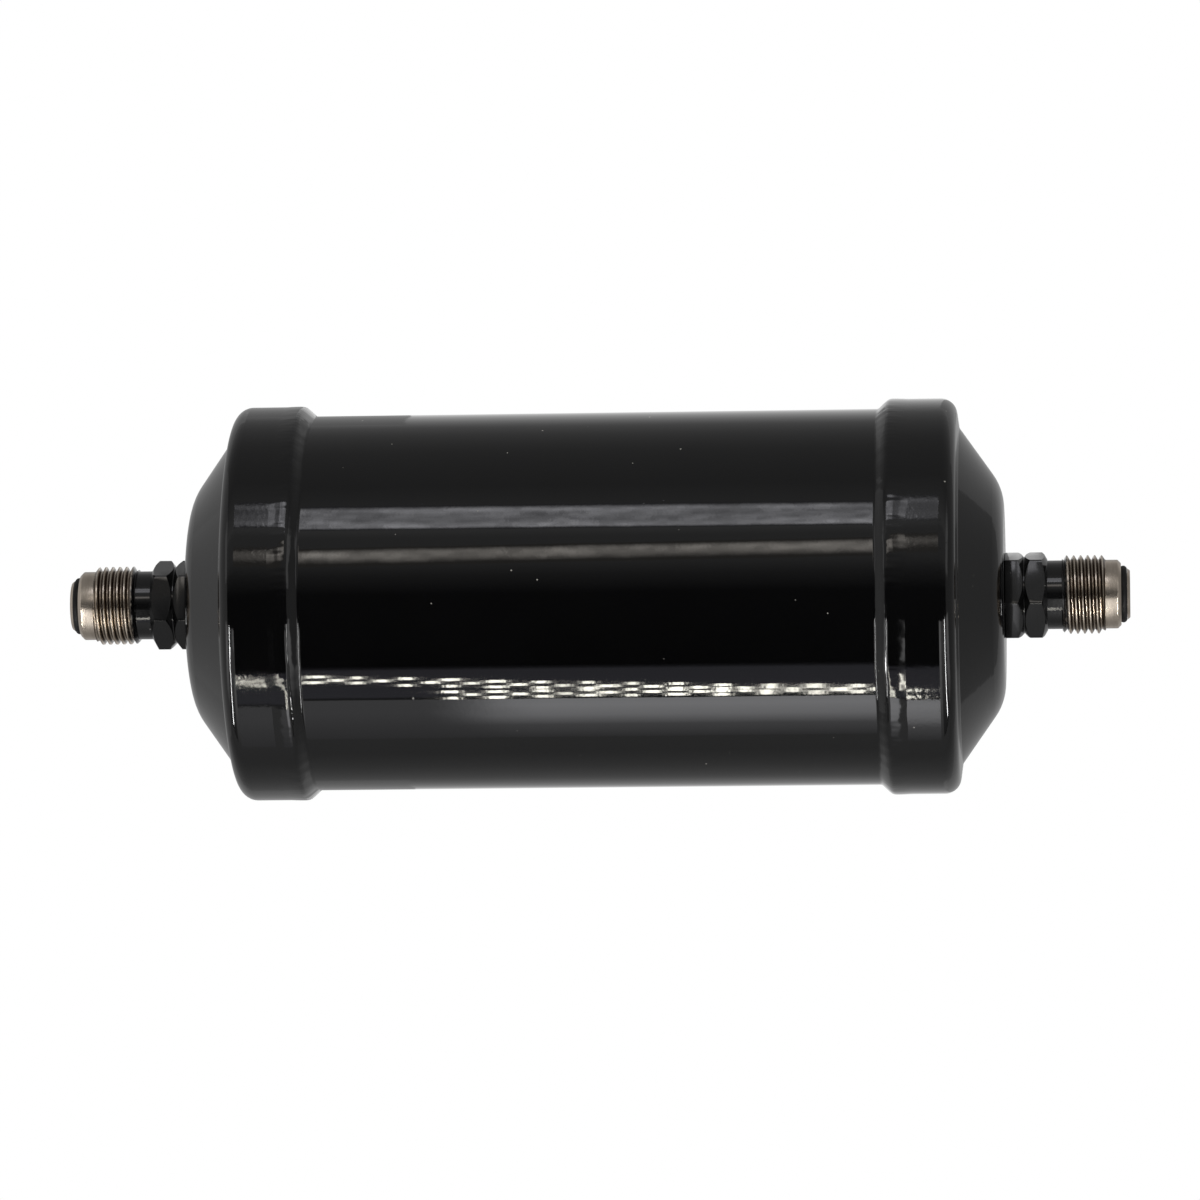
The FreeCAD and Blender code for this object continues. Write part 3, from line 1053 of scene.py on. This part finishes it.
def makeChips():
    c = chips
    material = glow("chipGlow", c["level"], c["colour"])[0]
    made = []
    for row in c["rows"]:
        count = int((row["to"] - row["from"]) / c["step"])
        for index in range(count):
            share = index / count
            x = row["from"] + index * c["step"]
            rise = row["riseFrom"] + (row["riseTo"] - row["riseFrom"]) * share
            rise += row["bow"] * 4 * share * (1 - share)
            offsets = (-c["spread"], c["spread"]) if index % 2 == 0 else (0,)
            for offset in offsets:
                shift = noise.noise(Vector((x, offset * 100, 3)))
                longer = 1 + c["lengthJitter"] * noise.noise(Vector((x, 7, offset * 100)))
                half = c["length"] / 2 * longer
                centre = rise + offset
                centre += c["jitter"] * noise.noise(Vector((x * 0.7, 11, offset * 100)))
                thickness = row.get("thickness", c["thickness"])
                edges = (centre - thickness / 2, centre + thickness / 2)
                corners = patchCorners(x + shift - half, x + shift + half, edges, edges)
                made.append(tentPatch(corners, "chip", material, c["lift"]))
    deselectAll()
    for chip in made:
        chip.select_set(True)
    bpy.context.view_layer.objects.active = made[0]
    bpy.ops.object.join()
    made[0].name = "lightChips"
    print("light chips:", len(made))


sides = {
    # low light to both sides, past what the tube mirrors: from x on the tent outwards, by angle
    "near": {"inlet": 0.168, "outlet": 0.09},
    "angles": (-88, -14),
    "fall": (0.12, 0.2),   # shares of the way outwards between which the light falls off
    "farShare": 0.38,
    "levels": [(0, 0.35), (0.2, 0.7), (0.45, 1.3), (0.8, 1.75), (1, 1.5)],
    # a bright strip within it, which the bends of the caps and welds show as thin lines
    "strip": (0.392, 0.416),
    "stripAngles": (-82, -14),
    "stripLevel": 48,
    "stripLift": 0.012,
    # a darker card behind the can's ends, so that the faces and cones keep thin rims
    "cardFrom": 0.085,
    "cardAngles": (138, 222),
    "cardLevel": 0.42,
    "lift": 0.006,
}


def sidePatch(side, fromX, toX, angles, name, material, lift):
    low, high = (math.radians(degrees) for degrees in angles)
    start, end = side * fromX, side * toX
    tentPatch([(start, low), (end, low), (end, high), (start, high)], name, material, lift)


def makeSides():
    s = sides
    far = stage["tentHalf"]
    for end, side in ends.items():
        material, tree, lamp = glow(end + "SideGlow", stage["peak"])
        outwards, upwards = patchPlace(tree)[:2]
        levels = [(at, level, 1) for at, level in s["levels"]]
        tree.links.new(levelRamp(tree, upwards, levels, stage["peak"]), lamp.inputs["Color"])
        fall = remap(tree, outwards, *s["fall"], stage["peak"], stage["peak"] * s["farShare"])
        tree.links.new(fall, lamp.inputs["Strength"])
        sidePatch(side, s["near"][end], far, s["angles"], end + "SidePanel", material, s["lift"])
        strip = glow(end + "StripGlow", s["stripLevel"])[0]
        sidePatch(side, *s["strip"], s["stripAngles"], end + "SideStrip", strip, s["stripLift"])
        card = glow(end + "CardGlow", s["cardLevel"])[0]
        sidePatch(side, s["cardFrom"], far, s["cardAngles"], end + "BackCard", card, s["lift"])


def makeFloor():
    s = stage
    deselectAll()
    bpy.ops.mesh.primitive_plane_add(size=s["floorSize"], location=(0, 0, -s["floorDrop"]))
    floor = bpy.context.object
    floor.name = "paleFloor"
    applyPlace(floor)
    material, _, shader = newMaterial("paleFloor")
    shader.inputs["Base Color"].default_value = (0.93, 0.93, 0.93, 1)
    shader.inputs["Roughness"].default_value = 0.9
    dress(floor, material)
    floor.visible_glossy = False


def makeWorld():
    world = bpy.data.worlds.new("studio")
    bpy.context.scene.world = world
    world.use_nodes = True
    tree = world.node_tree
    tree.nodes.clear()
    path = addNode(tree, "ShaderNodeLightPath")
    seen = calculate(tree, "MAXIMUM", path.outputs["Is Camera Ray"], path.outputs["Is Glossy Ray"])
    seen = calculate(tree, "MAXIMUM", seen, path.outputs["Is Transmission Ray"])
    plain = addNode(tree, "ShaderNodeBackground")
    plain.inputs["Color"].default_value = (1, 1, 1, 1)
    plain.inputs["Strength"].default_value = stage["ambient"]
    white = addNode(tree, "ShaderNodeBackground")
    white.inputs["Color"].default_value = (1, 1, 1, 1)
    mix = addNode(tree, "ShaderNodeMixShader")
    connect(
        tree,
        (seen, mix.inputs["Fac"]),
        (plain.outputs[0], mix.inputs[1]),
        (white.outputs[0], mix.inputs[2]),
        (mix.outputs[0], addNode(tree, "ShaderNodeOutputWorld").inputs["Surface"]),
    )


lamps = {
    "keyLamp": {"place": (-0.9, -1.3, 1.6), "size": 1.2, "power": 22},
    "fillLamp": {"place": (1.2, -1.0, 0.9), "size": 1.0, "power": 9},
    "backLamp": {"place": (0.3, 1.4, 1.3), "size": 1.2, "power": 12},
}


def makeLamps():
    for name, lamp in lamps.items():
        facing = Vector(lamp["place"]).to_track_quat("Z", "Y").to_euler()
        bpy.ops.object.light_add(type="AREA", location=lamp["place"], rotation=facing)
        made = bpy.context.object
        made.name = name
        made.data.size = lamp["size"]
        made.data.energy = lamp["power"]
        made.visible_glossy = False


# Making


placeCamera()
canPaint = glossBlackPaint("tubePaint", peel=1.6, ripple=10, nibs=9, roughness=0.035)
capPaint = glossBlackPaint("capPaint", peel=8, ripple=16, nibs=14, roughness=0.06)
weldPaint = glossBlackPaint("weldPaint", peel=2, ripple=8, nibs=10, roughness=0.06)
fittingMetal = sprayedFittingMetal()
for end in ends:
    dress(makeFitting(end), fittingMetal)
for end in ends:
    dress(weldBead(end), weldPaint)
print("weld beads made")
dress(nodes["shell_tube"], canPaint)
rubber = blackRubber()
brazeCopper = innerSteel("brazeCopper", (0.5, 0.24, 0.12, 1), (0.8, 0.46, 0.27, 1), 3000, 0.25)
plateSteel = innerSteel("plateSteel", (0.38, 0.38, 0.38, 1), (0.56, 0.56, 0.55, 1), 5000, 0.3)
springSteel = innerSteel("springSteel", (0.2, 0.19, 0.18, 1), (0.34, 0.33, 0.31, 1), 8000, 0.28)
mesh = wovenWire()
felt = needledFelt()
for end in ends:
    dress(nodes[end + "_end_cap"], capPaint)
    dress(nodes[end + "_o_ring"], rubber)
    dress(nodes[end + "_braze_ring"], brazeCopper)
    dress(nodes[end + "_mesh_screen"], mesh)
    dress(nodes[end + "_felt_pad"], felt)
dress(nodes["inlet_pressure_plate"], plateSteel)
dress(nodes["outlet_support_plate"], plateSteel)
dress(nodes["compression_spring"], springSteel)
dress(nodes["desiccant_bed"], packedBeads())
print("finishes set")
makeTent()
makePanels()
makeLowPanel()
makeChips()
makeSides()
makeFloor()
makeWorld()
makeLamps()
bpy.context.scene.view_settings.view_transform = "Standard"
print("stage set")
